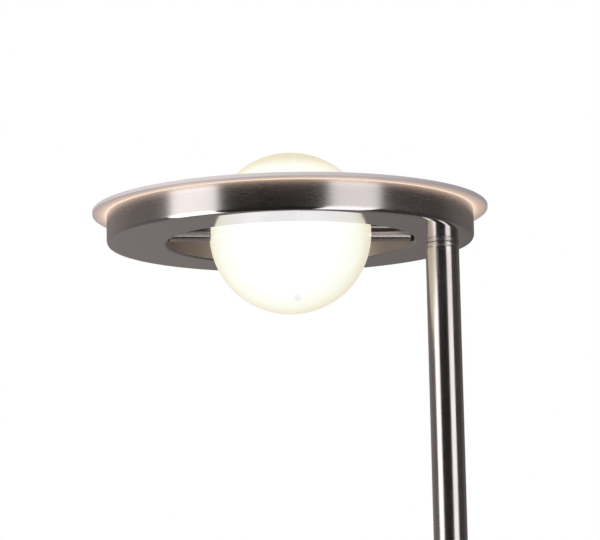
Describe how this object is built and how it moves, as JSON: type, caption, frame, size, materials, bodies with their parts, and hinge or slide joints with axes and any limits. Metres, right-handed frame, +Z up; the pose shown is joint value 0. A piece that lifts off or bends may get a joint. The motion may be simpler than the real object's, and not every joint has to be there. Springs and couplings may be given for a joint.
{
  "type": "torchiere floor lamp with reading light",
  "caption": "Floor lamp with a ring-shaped uplight on an off-centre pole and an opal globe reading light that turns on a rod across the ring.",
  "frame": {"origin": "on the floor, under the centre of the ring-shaped head", "axes": "+Z up along the pole, +X from the head's centre towards the pole, -Y the side the globe's knob and the control box face"},
  "size_m": [0.293, 0.293, 1.8],
  "materials": {
    "brushed_nickel": "fine brushed, satin nickel",
    "base_shell": "spun and brushed, satin nickel",
    "opal_globe": "opal, lit from inside",
    "frosted_disc": "frosted, lit from below",
    "black_trim": "satin black",
    "small_knob": "opal, smooth",
    "rubber": "matt",
    "cast_iron": "rough cast, black paint",
    "zinc_steel": "bright zinc plate",
    "black_plastic": "fine grained",
    "control_shell": "brushed, satin nickel",
    "knob_metal": "turned, satin",
    "driver_case": "moulded",
    "lead_sleeve": "matt sleeve",
    "white_board": "white solder mask",
    "led_chip": "phosphor under clear resin",
    "sheet_aluminium": "mill finish",
    "clear_ring": "clear, satin"
  },
  "bodies": {
    "stand": {"axle_bush_left": "black_trim", "axle_bush_right": "black_trim", "ballast_plate": "cast_iron", "base_collar": "brushed_nickel", "base_cover": "base_shell", "base_screws": "zinc_steel", "bottom_plate": "zinc_steel", "carrier_screws": "zinc_steel", "control_base": "black_plastic", "control_board": "white_board", "control_cover": "control_shell", "control_screws": "zinc_steel", "cord_gland": "black_plastic", "diffuser_plate": "frosted_disc", "diffuser_trim": "black_trim", "encoder_nuts": "zinc_steel", "foot_nipple": "zinc_steel", "foot_ring": "rubber", "head_nipple": "zinc_steel", "head_nut": "zinc_steel", "head_washer": "zinc_steel", "joiner_lower": "zinc_steel", "joiner_upper": "zinc_steel", "led_board": "white_board", "led_carrier": "sheet_aluminium", "led_chips": "led_chip", "led_standoffs": "zinc_steel", "pole_ferrule": "brushed_nickel", "pole_foot_plug": "zinc_steel", "pole_head_plug": "zinc_steel", "pole_lead": "lead_sleeve", "pole_lower": "brushed_nickel", "pole_middle": "brushed_nickel", "pole_upper": "brushed_nickel", "reading_driver": "driver_case", "reading_encoder": "black_plastic", "ring_tray": "brushed_nickel", "stop_block": "zinc_steel", "terminal_block": "driver_case", "uplight_driver": "driver_case", "uplight_encoder": "black_plastic"},
    "reading_globe": {"globe_axle": "brushed_nickel", "globe_left": "opal_globe", "globe_right": "opal_globe", "aiming_knob": "small_knob", "seam_ring": "clear_ring", "globe_hubs": "sheet_aluminium", "hub_screws": "zinc_steel", "reading_heat_sink": "sheet_aluminium", "reading_boards": "white_board", "reading_chips": "led_chip", "friction_washers": "zinc_steel", "axle_nuts": "zinc_steel", "stop_pin": "zinc_steel"},
    "uplight_dial_rotor": {"uplight_rotor": "black_plastic"},
    "uplight_dial": {"uplight_shaft": "zinc_steel", "uplight_knob": "knob_metal"},
    "reading_dial_rotor": {"reading_rotor": "black_plastic"},
    "reading_dial": {"reading_shaft": "zinc_steel", "reading_knob": "knob_metal"}
  },
  "joints": [
    {"name": "globe_turn", "type": "hinge", "parent": "stand", "child": "reading_globe", "pos_m": [0, 0, 1.74], "axis": [1, 0, 0], "range_deg": [-88, 152]},
    {"name": "uplight_dial_turn", "type": "hinge", "parent": "stand", "child": "uplight_dial_rotor", "pos_m": [0.114, -0.036, 1.102], "axis": [0, 1, 0], "range_deg": [-135, 135]},
    {"name": "uplight_dial_push", "type": "slide", "parent": "uplight_dial_rotor", "child": "uplight_dial", "axis": [0, 1, 0], "range_m": [0, 0.0008], "stiffness_N_per_m": 1500, "springref_m": -0.0008},
    {"name": "reading_dial_turn", "type": "hinge", "parent": "stand", "child": "reading_dial_rotor", "pos_m": [0.114, -0.036, 1.058], "axis": [0, 1, 0], "range_deg": [-135, 135]},
    {"name": "reading_dial_push", "type": "slide", "parent": "reading_dial_rotor", "child": "reading_dial", "axis": [0, 1, 0], "range_m": [0, 0.0008], "stiffness_N_per_m": 1500, "springref_m": -0.0008}
  ]
}
